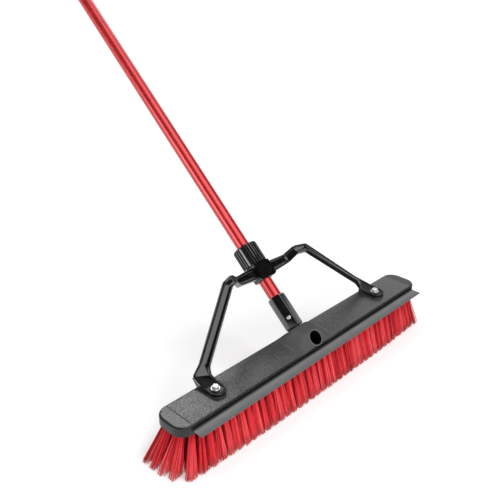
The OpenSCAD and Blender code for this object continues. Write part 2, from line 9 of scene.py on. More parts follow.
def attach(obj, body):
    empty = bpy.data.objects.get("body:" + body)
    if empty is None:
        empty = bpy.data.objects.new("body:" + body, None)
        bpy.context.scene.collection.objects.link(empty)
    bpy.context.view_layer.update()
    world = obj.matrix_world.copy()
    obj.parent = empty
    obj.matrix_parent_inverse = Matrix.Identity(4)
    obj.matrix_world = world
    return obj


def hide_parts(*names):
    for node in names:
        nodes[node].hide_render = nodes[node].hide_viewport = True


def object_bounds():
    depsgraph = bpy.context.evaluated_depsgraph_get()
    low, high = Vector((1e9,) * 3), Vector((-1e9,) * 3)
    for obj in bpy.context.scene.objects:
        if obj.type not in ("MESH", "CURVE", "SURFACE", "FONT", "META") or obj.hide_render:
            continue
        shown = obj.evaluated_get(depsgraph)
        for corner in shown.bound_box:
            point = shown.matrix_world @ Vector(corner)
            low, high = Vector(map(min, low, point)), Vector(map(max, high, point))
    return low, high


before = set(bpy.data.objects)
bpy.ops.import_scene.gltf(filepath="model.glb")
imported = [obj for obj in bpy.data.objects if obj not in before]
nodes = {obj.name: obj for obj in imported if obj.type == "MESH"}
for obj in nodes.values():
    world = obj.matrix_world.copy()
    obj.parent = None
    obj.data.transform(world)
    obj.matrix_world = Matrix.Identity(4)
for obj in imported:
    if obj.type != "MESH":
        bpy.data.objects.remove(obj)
cad_lo, cad_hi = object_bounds()

MM = 0.001
scene = bpy.context.scene
scene.view_settings.view_transform = "Standard"

# Sizes repeated from the CAD source, in millimetres
# Block: underside, crown and edge heights, outline, corner and edge radii, flat panel at each end
UNDER_Z = 71.0
CROWN_Z = 87.0
EDGE_Z = 86.2
BLOCK_L = 610.0
BLOCK_W = 64.0
CORNER_R = 22.0
EDGE_R = 3.0
END_PANEL = 23.0

# Saddle: half lengths of the whole and of its flat part, and the middle of a socket's mouth
SADDLE_L = 50.0
SADDLE_FLAT = 13.3
MOUTH_Y = 22.5
MOUTH_Z = 96.3
TILT_DEG = 42.0
TILT = math.radians(TILT_DEG)

# Brace: foot screw, toe and heel, then hub and neck measured up the handle
FOOT_X = 208.0
FOOT_Y = 2.0
TOE_Y = -1.5
TOE_Z = 87.6
TOE_T = 4.4
TOE_D = 28.0
TOE_LIP = 1.4
HEEL_OUT = 4.0
HEEL_UP = 8.0
HUB_S = 97.6
HUB_L = 31.4
HUB_D = 34.0
NECK_TOP = 150.0

# Clamp nut
NUT_S = 129.3
NUT_L = 38.0
NUT_D = 45.6
RIB_H = 1.3
RIBS = 26

# Handle: tube, end of the cap past the tube, hexagonal ferrule and its stud
TUBE_R = 11.9
TUBE_BORE_R = 11.0
TUBE_FOOT = 9.3
HANDLE_L = 1505.0
CAP_END = 8.0
FERRULE_AF = 28.6
FERRULE_L = 63.5
FERRULE_TURN = 19.3
FERRULE_SCREW_S = 19.5
STUD_R = 9.4
STUD_L = 18.5
SOCKET_R = 9.7
SOCKET_DEPTH = 20.0
THREAD_H = 1.1
THREAD_PITCH = 3.4
THREAD_TURNS = 5

# Squeegee strip: how much shorter than the block it is, and the middle of its slot
STRIP_SHORT = 42.0
SLOT_Z = UNDER_Z + 7.2

# Bristles: pitches, tufts in a long row, spread of the rows at the tips, length of the fan at each end
TUFT_PITCH = 15.5
ROW_PITCH = 12.0
TUFTS_LONG = 38
ROW_SPREAD = 1.55
FAN_L = 95.0

# Clearances of running and of seated pieces
RUN = 0.3
SEAT = 0.12

# Local frame of the handle: z runs up the handle from the socket's mouth
HANDLE = Matrix.Translation((0, MOUTH_Y, MOUTH_Z)) @ Matrix.Rotation(TILT - math.pi / 2, 4, "X")
FREE_SOCKET = Matrix.Diagonal((1, -1, 1, 1)) @ HANDLE
BOTH_SIDES = (Matrix.Identity(4), Matrix.Diagonal((-1, 1, 1, 1)))


def by_handle(x, s, p):
    """A point at x, s up the handle from the mouth and p above its axis."""
    y = MOUTH_Y + s * math.cos(TILT) - p * math.sin(TILT)
    return Vector((x, y, MOUTH_Z + s * math.sin(TILT) + p * math.cos(TILT)))


def clamp01(v):
    return min(1.0, max(0.0, v))


def smooth(a, b, v):
    t = clamp01((v - a) / (b - a))
    return t * t * (3 - 2 * t)


def curve(a, b, c, t):
    """A point on the curve from a to c that is drawn towards b."""
    return (1 - t) ** 2 * a + 2 * t * (1 - t) * b + t * t * c


def grey(v):
    return (v, v, v)


# Camera at the photograph's angle
CAMERA_AT = Vector((-758.235, -606.106, 720.662))
CAMERA_FORWARD = Vector((0.645051, 0.627533, -0.436018))
CAMERA_RIGHT = Vector((0.697307, -0.716773, 0.0))
CAMERA_LENS = 48.23
CAMERA_SENSOR = 36.0


def make_camera():
    data = bpy.data.cameras.new("camera")
    data.sensor_width = CAMERA_SENSOR
    data.lens = CAMERA_LENS
    data.clip_start = 0.05
    data.clip_end = 100
    up = CAMERA_RIGHT.cross(CAMERA_FORWARD)
    basis = Matrix((CAMERA_RIGHT, up, -CAMERA_FORWARD)).transposed()
    cam = bpy.data.objects.new("camera", data)
    cam.matrix_world = Matrix.Translation(CAMERA_AT * MM) @ basis.to_4x4()
    scene.collection.objects.link(cam)
    scene.camera = cam


make_camera()


# Materials
class Paint:
    """A node material under construction."""

    def __init__(self, name):
        self.mat = bpy.data.materials.new(name)
        self.mat.use_nodes = True
        self.tree = self.mat.node_tree
        self.bsdf = self.tree.nodes["Principled BSDF"]
        self.coord = self.add("ShaderNodeTexCoord").outputs["Object"]

    def add(self, kind, **props):
        node = self.tree.nodes.new(kind)
        for key, value in props.items():
            setattr(node, key, value)
        return node

    def link(self, a, b):
        self.tree.links.new(a, b)

    def set(self, **values):
        for key, value in values.items():
            self.bsdf.inputs[key.replace("_", " ")].default_value = value

    def noise(self, scale, detail=2.0, rough=0.5):
        node = self.add("ShaderNodeTexNoise")
        node.inputs["Scale"].default_value = scale
        node.inputs["Detail"].default_value = detail
        node.inputs["Roughness"].default_value = rough
        self.link(self.coord, node.inputs["Vector"])
        return node.outputs["Fac"]

    def cells(self, scale, feature="F1"):
        node = self.add("ShaderNodeTexVoronoi", feature=feature)
        node.inputs["Scale"].default_value = scale
        self.link(self.coord, node.inputs["Vector"])
        return node.outputs["Distance"]

    def math(self, op, *values):
        node = self.add("ShaderNodeMath", operation=op)
        for socket, value in zip(node.inputs, values):
            if isinstance(value, (int, float)):
                socket.default_value = value
            else:
                self.link(value, socket)
        return node.outputs[0]

    def remap(self, value, a, b, c, d):
        node = self.add("ShaderNodeMapRange")
        for name, v in (("From Min", a), ("From Max", b), ("To Min", c), ("To Max", d)):
            node.inputs[name].default_value = v
        self.link(value, node.inputs["Value"])
        return node.outputs["Result"]

    def ramp(self, value, *stops):
        node = self.add("ShaderNodeValToRGB")
        elements = node.color_ramp.elements
        while len(elements) < len(stops):
            elements.new(0.5)
        for element, (at, colour) in zip(elements, stops):
            element.position = at
            element.color = (*colour, 1)
        self.link(value, node.inputs["Fac"])
        return node.outputs["Color"]

    def mix(self, factor, a, b):
        node = self.add("ShaderNodeMix", data_type="RGBA")
        for socket, value in zip((node.inputs[0], node.inputs[6], node.inputs[7]), (factor, a, b)):
            if isinstance(value, tuple):
                socket.default_value = (*value, 1)
            else:
                self.link(value, socket)
        return node.outputs[2]

    def part(self, vector, axis):
        node = self.add("ShaderNodeSeparateXYZ")
        self.link(vector, node.inputs[0])
        return node.outputs[axis]

    def attribute(self, name):
        return self.add("ShaderNodeAttribute", attribute_name=name).outputs["Fac"]

    def colour(self, socket):
        self.link(socket, self.bsdf.inputs["Base Color"])

    def rough(self, socket):
        self.link(socket, self.bsdf.inputs["Roughness"])

    def specular(self, socket):
        self.link(socket, self.bsdf.inputs["Specular IOR Level"])

    def coat(self, socket):
        self.link(socket, self.bsdf.inputs["Coat Weight"])

    def bump(self, height, strength, distance):
        node = self.add("ShaderNodeBump")
        node.inputs["Strength"].default_value = strength
        node.inputs["Distance"].default_value = distance
        self.link(height, node.inputs["Height"])
        self.link(node.outputs["Normal"], self.bsdf.inputs["Normal"])


def moulded(name, dark, light, rough, grain, depth, coat):
    """Plain moulded plastic with a fine satin grain."""
    p = Paint(name)
    p.set(Coat_Weight=coat, Coat_Roughness=rough / 2)
    p.colour(p.ramp(p.noise(90, 4, 0.6), (0.3, grey(dark)), (0.7, grey(light))))
    p.rough(p.remap(p.noise(400, 3), 0.3, 0.7, rough - 0.05, rough + 0.06))
    p.bump(p.noise(grain, 2), 0.2, depth)
    return p.mat


def block_paint():
    """Charcoal plastic: pebble grain on top, smooth walls, a saddle coloured paler as painted light, a lip
    coloured paler as a painted highlight, and sockets coloured black as painted shade.
    """
    p = Paint("block_plastic")
    grain, saddle, deep = p.attribute("grain"), p.attribute("saddle"), p.attribute("deep")
    pebbles = p.cells(420, "SMOOTH_F1")
    fine = p.math("MULTIPLY", p.noise(900, 2), 0.5)
    height = p.math("MULTIPLY", p.math("ADD", pebbles, fine), grain)
    tone = p.ramp(p.noise(30, 5, 0.65), (0.3, (0.011, 0.011, 0.0113)), (0.7, (0.017, 0.017, 0.0174)))
    speck = p.math("MULTIPLY", p.remap(pebbles, 0.15, 0.6, 0.0, 0.5), grain)
    body = p.mix(speck, tone, (0.045, 0.045, 0.046))
    # Painted light: the saddle is coloured paler, in place of the shine it loses.
    body = p.mix(p.math("MULTIPLY", saddle, 0.8), body, (0.1, 0.1, 0.101))
    # Painted highlight: the ring round the free socket is coloured paler.
    body = p.mix(p.math("MULTIPLY", p.attribute("lip"), 0.6), body, (0.17, 0.17, 0.172))
    # Painted shade: the inside of both sockets is coloured near black and loses its shine.
    p.colour(p.mix(deep, body, grey(0.002)))
    p.rough(p.remap(p.noise(300, 3), 0.3, 0.7, 0.25, 0.33))
    shine = p.math("SUBTRACT", p.remap(grain, 0.0, 1.0, 0.35, 0.7), p.math("MULTIPLY", saddle, 0.5))
    p.specular(p.math("MULTIPLY", shine, p.math("SUBTRACT", 1.0, deep)))
    p.bump(height, 0.42, 0.001)
    return p.mat


def blade_paint():
    """Grey rubber, with painted light that makes it paler towards the block and painted shade that makes it
    dark at the joint.
    """
    p = Paint("blade_rubber")
    cloud = p.noise(45, 6, 0.7)
    outer_y, joint_y = cad_lo.y, (-BLOCK_W / 2 - 1) * MM
    across = p.remap(p.part(p.coord, "Y"), outer_y, joint_y, 0.0, 1.0)
    # Painted light and shade across the strip: palest part way out from the joint, darker to the outer edge,
    # near black at the joint itself.
    stops = ((0.0, 0.09), (0.3, 0.13), (0.74, 0.19), (0.86, 0.1), (0.97, 0.012))
    tone = p.ramp(across, *((at, grey(v)) for at, v in stops))
    p.colour(p.mix(p.remap(cloud, 0.35, 0.75, 0.0, 0.35), tone, (0.09, 0.092, 0.094)))
    p.rough(p.remap(cloud, 0.3, 0.7, 0.5, 0.68))
    p.bump(p.noise(700, 3), 0.3, 0.0003)
    return p.mat


def brace_paint():
    """Glossy black plastic, duller on top of the feet."""
    p = Paint("brace_gloss")
    gloss = p.attribute("gloss")
    p.colour(p.ramp(p.noise(60, 4), (0.35, (0.0025, 0.0025, 0.0028)), (0.7, (0.0045, 0.0045, 0.005))))
    p.rough(p.remap(p.noise(180, 3), 0.3, 0.7, 0.14, 0.22))
    p.bump(p.noise(120, 2), 0.04, 0.0003)
    p.specular(p.remap(gloss, 0.0, 1.0, 0.12, 0.5))
    p.coat(p.remap(gloss, 0.0, 1.0, 0.0, 0.6))
    p.set(Coat_Roughness=0.08)
    return p.mat


def nut_paint():
    """Black plastic, glossy on the ribs and matte in the grooves between them, the grooves coloured darker as
    painted shade.
    """
    p = Paint("nut_satin")
    rib = p.attribute("rib")
    tone = p.ramp(p.noise(90, 4, 0.6), (0.3, grey(0.003)), (0.7, grey(0.006)))
    # Painted shade: the grooves are coloured darker than the ribs.
    p.colour(p.mix(p.math("MULTIPLY", rib, 0.5), tone, grey(0.012)))
    p.rough(p.remap(p.noise(400, 3), 0.3, 0.7, 0.16, 0.24))
    p.specular(p.remap(rib, 0.0, 1.0, 0.04, 0.6))
    p.coat(rib)
    p.bump(p.noise(700, 2), 0.2, 0.0001)
    return p.mat


def tube_paint():
    """Red lacquer over steel, with a faint fleck."""
    p = Paint("tube_red")
    fleck = p.math("MULTIPLY", p.cells(2400), 0.15)
    cloud = p.math("ADD", fleck, p.math("MULTIPLY", p.noise(30, 3), 0.7))
    p.colour(p.ramp(cloud, (0.25, (0.50, 0.022, 0.026)), (0.65, (0.58, 0.03, 0.034))))
    p.rough(p.remap(p.noise(120, 3), 0.3, 0.7, 0.24, 0.3))
    p.bump(p.noise(60, 2), 0.02, 0.0003)
    p.set(Metallic=0.45, Coat_Weight=0.6, Coat_Roughness=0.1)
    return p.mat


def metal(name, dark, light, rough):
    """Plated or bare metal with a fine uneven polish."""
    p = Paint(name)
    p.colour(p.ramp(p.noise(700, 4, 0.65), (0.3, dark), (0.7, light)))
    p.rough(p.remap(p.noise(900, 3), 0.3, 0.7, rough - 0.06, rough + 0.1))
    p.bump(p.noise(1400, 2), 0.1, 0.0002)
    p.set(Metallic=1.0)
    return p.mat


def bristle_paint():
    """Red fibre, each with its own tone, darkened towards the root and on shaded strands as painted shade,
    the brightest strands made pinkish as a painted highlight, and pale where the tip is split.
    """
    p = Paint("bristle_fibre")
    along, own = p.attribute("along"), p.attribute("tone")
    # The two low stops colour the strands darkened as painted shade.
    dark, deep = (0.0, (0.03, 0.001, 0.002)), (0.25, (0.42, 0.007, 0.013))
    # Painted highlight: the top stop turns the brightest strands pinkish.
    full, pale = (0.5, (0.86, 0.026, 0.04)), (1.0, (0.95, 0.17, 0.18))
    tip = p.remap(along, 0.8, 1.0, 0.0, 0.7)
    p.colour(p.mix(p.math("MULTIPLY", tip, own), p.ramp(own, dark, deep, full, pale), (0.95, 0.26, 0.25)))
    p.rough(p.remap(p.noise(500, 2), 0.3, 0.7, 0.4, 0.55))
    p.bump(p.noise(2500, 2), 0.2, 0.0002)
    p.set(Specular_IOR_Level=0.3)
    return p.mat


MATS = {
    "block": block_paint(),
    "blade": blade_paint(),
    "brace": brace_paint(),
    "zinc": metal("zinc_bright", (0.75, 0.75, 0.74), (0.9, 0.9, 0.88), 0.36),
    "brass": metal("insert_brass", (0.5, 0.34, 0.12), (0.66, 0.46, 0.18), 0.32),
    "nut": nut_paint(),
    "collet": moulded("collet_satin", 0.015, 0.022, 0.5, 900, 0.0003, 0.0),
    "tube": tube_paint(),
    "ferrule": moulded("ferrule_satin", 0.003, 0.005, 0.2, 600, 0.0001, 0.8),
    "cap": moulded("cap_gloss", 0.004, 0.007, 0.3, 900, 0.0002, 0.5),
    "bristle": bristle_paint(),
}

# CAD nodes that are carried over with a new material
CARRIED = {"squeegee_blade": "blade", "screw_inserts": "brass", "clamp_collet": "collet"}
for carried, material in CARRIED.items():
    slots = nodes[carried].data.materials
    slots.clear()
    slots.append(MATS[material])


# Mesh building, all in millimetres until the mesh is made
class Shape:
    """Vertices and faces gathered from several bodies."""

    def __init__(self):
        self.verts, self.faces = [], []

    def add(self, verts, faces, matrix=None):
        base = len(self.verts)
        self.verts += [matrix @ Vector(v) if matrix else Vector(v) for v in verts]
        self.faces += [tuple(base + i for i in f) for f in faces]
        return self

    def mesh(self, name, bevel=0.0, sharp=35):
        """A welded mesh with outward faces; edges sharper than the limit get a bevel first."""
        bm = bmesh.new()
        made = [bm.verts.new(v * MM) for v in self.verts]
        for f in self.faces:
            bm.faces.new([made[i] for i in f])
        bmesh.ops.remove_doubles(bm, verts=bm.verts, dist=1e-6)
        bmesh.ops.dissolve_degenerate(bm, edges=bm.edges, dist=1e-7)
        bmesh.ops.recalc_face_normals(bm, faces=bm.faces)
        if bevel:
            limit = math.radians(sharp)
            inner = [e for e in bm.edges if len(e.link_faces) == 2]
            edges = [e for e in inner if e.calc_face_angle() > limit]
            size = bevel * MM
            bmesh.ops.bevel(bm, geom=edges, offset=size, segments=2, affect="EDGES", clamp_overlap=True)
        mesh = bpy.data.meshes.new(name)
        bm.to_mesh(mesh)
        bm.free()
        return finish_mesh(mesh, sharp)


def finish_mesh(mesh, sharp):
    mesh.shade_smooth()
    mesh.set_sharp_from_angle(angle=math.radians(sharp))
    return mesh


def mark(mesh, name, domain, values):
    """A number per point or face for the material to read."""
    mesh.attributes.new(name, "FLOAT", domain).data.foreach_set("value", values)


def loft(rings, closed_ends=True):
    """Faces through rings of equal length."""
    k = len(rings[0])
    verts = [v for ring in rings for v in ring]
    faces = [(i * k + j, i * k + (j + 1) % k, (i + 1) * k + (j + 1) % k, (i + 1) * k + j)
             for i in range(len(rings) - 1) for j in range(k)]
    if closed_ends:
        faces += [tuple(range(k)), tuple(range((len(rings) - 1) * k, len(rings) * k))]
    return verts, faces


def around(polar, z, limit=math.inf):
    """A ring of points at the given angles and radii, none further out than the limit."""
    return [(min(r, limit) * math.cos(a), min(r, limit) * math.sin(a), z) for a, r in polar]


def round_at(polar, z, r):
    """A round ring of points at the same angles."""
    return [(r * math.cos(a), r * math.sin(a), z) for a, _ in polar]


def revolve(profile, segments=64):
    """A closed profile of radius and height, turned round the z axis."""
    turns = [(2 * math.pi * j / segments, 0) for j in range(segments)]
    rings = [round_at(turns, z, r) for r, z in profile]
    return loft(rings + [rings[0]], closed_ends=False)


BOX_FACES = [(0, 1, 2, 3), (4, 5, 6, 7), (0, 1, 5, 4), (1, 2, 6, 5), (2, 3, 7, 6), (3, 0, 4, 7)]


def box(x0, x1, y0, y1, z0, z1):
    verts = [(x, y, z) for z in (z0, z1) for x, y in ((x0, y0), (x1, y0), (x1, y1), (x0, y1))]
    return verts, BOX_FACES


def softened(points, radius, steps=4):
    """A closed polygon with its corners rounded, by one radius or by one for each corner."""
    points = [Vector(p) for p in points]
    out = []
    for i, b in enumerate(points):
        a, c = points[i - 1], points[(i + 1) % len(points)]
        r = radius[i] if isinstance(radius, list) else radius
        p = b + (a - b).normalized() * min(r, 0.42 * (a - b).length)
        q = b + (c - b).normalized() * min(r, 0.42 * (c - b).length)
        out += [curve(p, b, q, k / (steps - 1)) for k in range(steps)]
    return out


def hexagon(corner, turn, radius, steps):
    """Angles and radii round a hexagon with softened corners."""
    angles = [math.radians(turn + 60 * k) for k in range(6)]
    points = softened([(corner * math.cos(a), corner * math.sin(a)) for a in angles], radius, steps)
    return [(math.atan2(p[1], p[0]), p.length) for p in points]


def place(name, mesh, material, body, slot, *replaced):
    mesh.materials.clear()
    mesh.materials.append(MATS[material])
    obj = bpy.data.objects.new(name, mesh)
    scene.collection.objects.link(obj)
    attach(obj, body)
    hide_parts(*replaced)


def boolean(mesh, steps, sharp):
    """The mesh after a list of union and difference steps with other shapes."""
    work = bpy.data.objects.new("work", mesh)
    scene.collection.objects.link(work)
    helpers = []
    for op, shape in steps:
        helper = bpy.data.objects.new("helper", shape.mesh("helper"))
        scene.collection.objects.link(helper)
        helpers.append(helper)
        mod = work.modifiers.new(op, "BOOLEAN")
        mod.operation = op
        mod.solver = "EXACT"
        mod.object = helper
    graph = bpy.context.evaluated_depsgraph_get()
    result = bpy.data.meshes.new_from_object(work.evaluated_get(graph))
    for obj in [work] + helpers:
        data = obj.data
        bpy.data.objects.remove(obj)
        bpy.data.meshes.remove(data)
    # Slivers along the cuts are closed up
    bm = bmesh.new()
    bm.from_mesh(result)
    bmesh.ops.remove_doubles(bm, verts=bm.verts, dist=0.01 * MM)
    bmesh.ops.dissolve_degenerate(bm, edges=bm.edges, dist=0.01 * MM)
    bm.to_mesh(result)
    bm.free()
    return finish_mesh(result, sharp)


# The brace, with its arms as in the CAD source
BRACE_SHARP = 38
CHANNEL_RIM = 3.0
CHANNEL_SOFT = [1.3, 1.3, 2.2, 2.1, 6, 6, 1.1, 1.1]
TOE_SOFT = [1.3, 1.3, 1.1, 1.1, 1.6, 1.6, 1.1, 1.1]
HEEL_STATION = 5
BEND_REACH = 3.5


def arm_stations():
    """From the hub to the toe: place, tilt and turn in degrees, width, height, floor, bevel."""
    mid = HUB_S + HUB_L / 2
    heel_y, heel_z, back_y = BLOCK_W / 2 + HEEL_OUT, EDGE_Z + HEEL_UP, TOE_Y + TOE_D / 2
    pad_tilt = math.degrees(math.atan((heel_z - TOE_Z) / (heel_y - back_y)))
    heel = Vector((FOOT_X - 3, heel_y, heel_z + SEAT))
    toe_back = Vector((FOOT_X, back_y + 0.6, TOE_Z + 2 * SEAT))
    toe = Vector((FOOT_X, TOE_Y, TOE_Z + SEAT))
    leg_top = by_handle(98, mid, 26)
    leg_end = heel - 17 * (heel - leg_top).normalized()
    lip_h = TOE_T + TOE_LIP
    return [
        (by_handle(HUB_D / 2 - 5, mid, 4), TILT_DEG, 0, 24, 12, 7, 4.5),
        (by_handle(64, mid + 1.5, 4), TILT_DEG, 0, 18.5, 11, 6, 4.5),
        (by_handle(82, mid + 5, 21), TILT_DEG, 4, 18, 10, 5, 4.5),
        (leg_top, 44, 15, 18, 9, 4, 4.5),
        (leg_end, 29, 28, 19.5, 9, 4, 4.5),
        (heel, pad_tilt, 8, 30, TOE_T + 2, 4, 1.5),
        (toe_back, pad_tilt / 2, 0, TOE_D, lip_h, TOE_T - 4 * SEAT, 0),
        (toe, 0, 0, TOE_D, lip_h - SEAT, TOE_T - SEAT, 0),
    ]


def channel(w, h, t, bevel):
    """An open channel's section, with a bevel on one outer edge."""
    half, rim = w / 2, w / 2 - CHANNEL_RIM
    return [(-half, 0), (half, 0), (half, h - bevel), (rim, h), (rim - 0.5, t),
            (0.5 - rim, t), (-rim, h), (-half, h)]


def arm_sections(rounded):
    """The channel at every station, square to the arm or, at the toe, to the pad."""
    stations = arm_stations()
    last = len(stations) - 1
    out = []
    for i, (at, tilt, turn, w, h, t, bevel) in enumerate(stations):
        a, b = math.radians(tilt), math.radians(turn)
        lean = Vector((math.sin(b), -math.cos(b) * math.sin(a), math.cos(b) * math.cos(a)))
        along = Vector((0, 0, 0))
        if i > 0:
            along += (at - stations[i - 1][0]).normalized()
        if i < last:
            along += (stations[i + 1][0] - at).normalized()
        along.normalize()
        across = lean.cross(along).normalized()
        up = lean if i >= last - 1 else along.cross(across).normalized()
        points = channel(w, h, t, bevel)
        if rounded:
            points = softened(points, CHANNEL_SOFT if i < HEEL_STATION else TOE_SOFT, 6)
        out.append([at + p[0] * across + p[1] * up for p in points])
    return out


def bent(sections, reach):
    """Sections with extra ones at every bend, so that the bends are short curves."""
    middles = [sum(s, Vector()) / len(s) for s in sections]
    gap = [(b - a).length for a, b in zip(middles, middles[1:])]

    def between(i, t):
        return [a.lerp(b, t) for a, b in zip(sections[i], sections[i + 1])]

    out = [sections[0]]
    for i in range(1, len(sections) - 1):
        before = between(i - 1, 1 - min(0.45, reach / gap[i - 1]))
        after = between(i, min(0.45, reach / gap[i]))
        for k in range(6):
            out.append([curve(a, b, c, k / 5) for a, b, c in zip(before, sections[i], after)])
    return out + [sections[-1]]


def toe_end():
    """Round end of a toe, with its lip."""
    r, h, t = TOE_D / 2, TOE_T + TOE_LIP - SEAT, TOE_T - SEAT
    section = [(0, 0), (r, 0), (r, h), (r - 2.6, h), (r - 3.1, t), (0, t)]
    section = softened(section, [0, 1.3, 1.1, 1.1, 1.6, 0])
    rings = []
    for k in range(33):
        a = math.radians(3 - 186 * k / 32)
        x, y = math.cos(a), math.sin(a)
        rings.append([(FOOT_X + p[0] * x, TOE_Y + p[0] * y, TOE_Z + SEAT + p[1]) for p in section])
    return loft(rings)


def hub():
    """Hub and neck round the tube."""
    bore, r, top = TUBE_R + RUN, HUB_D / 2, HUB_S + HUB_L
    lower = [(bore, HUB_S), (r - 0.8, HUB_S), (r, HUB_S + 0.8), (r, top - 0.6), (r - RUN, top)]
    neck = [(r - RUN, NECK_TOP - 1), (r - 1.2, NECK_TOP), (bore + 3, NECK_TOP), (bore, NECK_TOP - 6)]
    return revolve(lower + neck, 96)


def hub_plates():
    """Block in front of the hub and the plates at its sides."""
    shape = Shape()
    bore, top = TUBE_R + RUN, HUB_S + HUB_L
    half, front, back, plate = 15.5, -17, 7.7, 1.2
    arc = [math.radians(a) for a in range(0, 181, 9)]
    outline = [(half, 0), (half, front), (-half, front), (-half, 0)]
    outline += [(-bore * math.cos(a), -bore * math.sin(a)) for a in arc]
    shape.add(*loft([[(x, y, s) for x, y in outline] for s in (HUB_S, top)]), HANDLE)
    for x in (-HUB_D / 2, HUB_D / 2):
        shape.add(*box(x - plate, x + plate, front - 0.8, back, HUB_S + 1, top - 1), HANDLE)
    return shape.mesh("brace_plates", bevel=0.7, sharp=BRACE_SHARP)


def make_brace():
    shape = Shape()
    arm, toe = loft(bent(arm_sections(True), BEND_REACH)), toe_end()
    for side in BOTH_SIDES:
        shape.add(*arm, side)
        shape.add(*toe, side)
    shape.add(*hub(), HANDLE)
    arms = shape.mesh("brace_arms", sharp=BRACE_SHARP)
    plates = hub_plates()
    bm = bmesh.new()
    bm.from_mesh(arms)
    bm.from_mesh(plates)
    bm.to_mesh(arms)
    bm.free()
    bpy.data.meshes.remove(plates)
    gloss = [0.0 if f.normal.z > 0.9 and f.center.z < 0.1 else 1.0 for f in arms.polygons]
    mark(arms, "gloss", "FACE", gloss)
    place("brace_bar", finish_mesh(arms, BRACE_SHARP), "brace", "head", "brace_black", "brace")


# The block: slices across its length, joined with its pads and cut by the sockets and slots
CROWN_HALF = BLOCK_W / 2 - EDGE_R
SADDLE_SOFT = 3.2
RIDGE_Z = 106.0
RIDGE_SOFT = 5.0
PAD_BASE = UNDER_Z + 8
# Countersink of the sockets, and the ring round the free one
SINK_R = SOCKET_R + 2.8
SINK_DEPTH = 2.6
RING_IN = 11.6
RING_OUT = 14.0
RING_H = 0.5
# Grain on the top, and the stretch over which the saddle's tone fades out
GRAIN_INSET = 2.2
GRAIN_Z = 85.5
FADE_START = 30
FADE_END = 62
# Distances from the block's ends and edges at which its surface gets points
END_STEPS = [0, 0.05, 0.2, 0.5, 1, 1.7, 2.5, 3.5, 5, 7, 9.5, 12, 15, 18, 20.5, 21.5,
             22, 22.3, 22.6, 22.9, 23.2, 23.5, 24, 25, 28]
EDGE_STEPS = [0, 0.12, 0.4, 0.8, 1.4, 2.1, EDGE_R]


def outline_half(x):
    """Half the block's width at x."""
    over = max(0.0, abs(x) - (BLOCK_L / 2 - CORNER_R))
    return BLOCK_W / 2 - CORNER_R + math.sqrt(max(0.0, CORNER_R ** 2 - over ** 2))


def inside(x, y):
    """Distance from a point to the block's outline."""
    qx = abs(x) - (BLOCK_L / 2 - CORNER_R)
    qy = abs(y) - (BLOCK_W / 2 - CORNER_R)
    away = math.hypot(max(qx, 0), max(qy, 0)) + min(max(qx, qy), 0)
    return CORNER_R - away


def soft_min(a, b, k):
    h = clamp01(0.5 + 0.5 * (b - a) / k)
    return b + (a - b) * h - k * h * (1 - h)


def block_top(x, y):
    """Height of the crowned top, with its rounded edge and the saddle."""
    d = max(0.0, inside(x, y))
    end = BLOCK_L / 2 - END_PANEL
    panel = smooth(end + 0.5, end - 0.5, abs(x))
    z = EDGE_Z + (CROWN_Z - EDGE_Z) * panel * (1 - min(1, (y / CROWN_HALF) ** 2))
    if d < EDGE_R:
        z += math.sqrt(EDGE_R ** 2 - (EDGE_R - d) ** 2) - EDGE_R
    u = clamp01((abs(x) - SADDLE_FLAT) / (SADDLE_L - SADDLE_FLAT))
    share = (1 + math.cos(math.pi * u)) / 2
    if share > 0:
        slope = soft_min(MOUTH_Z - (abs(y) - MOUTH_Y) / math.tan(TILT), RIDGE_Z, RIDGE_SOFT)
        low = z - SADDLE_SOFT
        z = -soft_min(-z, -(low + share * (slope - low)), SADDLE_SOFT)
    return z


def block_shell():
    """Slices across the block, closer where its shape changes."""
    half = [1.5 * i for i in range(37)] + [58, 64, 72] + list(range(80, 272, 8)) + [274]
    half += [BLOCK_L / 2 - e for e in reversed(END_STEPS)]
    insets = EDGE_STEPS + [EDGE_R + CROWN_HALF * i / 18 for i in range(1, 19)]
    rings = []
    for x in [-x for x in reversed(half[1:])] + half:
        w = outline_half(x)
        squeeze = (w - EDGE_R) / CROWN_HALF
        ds = [d if d <= EDGE_R else EDGE_R + (d - EDGE_R) * squeeze for d in insets]
        ys = [w - d for d in ds] + [d - w for d in reversed(ds[:-1])]
        rings.append([(x, w, UNDER_Z)] + [(x, y, block_top(x, y)) for y in ys] + [(x, -w, UNDER_Z)])
    return Shape().add(*loft(rings)).mesh("block_shell")


def foot_pads():
    """Wedges behind the heels of the brace and flat spots under its toes."""
    heel, front = arm_sections(False)[-3:-1]
    drop = Vector((0, 0, -2 * SEAT))
    upper = [p + drop for p in (heel[0], heel[1], front[1], front[0])]
    lower = [Vector((p.x, min(p.y, BLOCK_W / 2 - 1), PAD_BASE)) for p in upper]
    r = TOE_D / 2 + 1
    spot = revolve([(0, PAD_BASE), (r, PAD_BASE), (r, TOE_Z - 0.5), (r - 0.4, TOE_Z), (0, TOE_Z)])
    steps = []
    for side in BOTH_SIDES:
        steps.append(("UNION", Shape().add(upper + lower, BOX_FACES, side)))
        steps.append(("UNION", Shape().add(*spot, side @ Matrix.Translation((FOOT_X, TOE_Y, 0)))))
    return steps


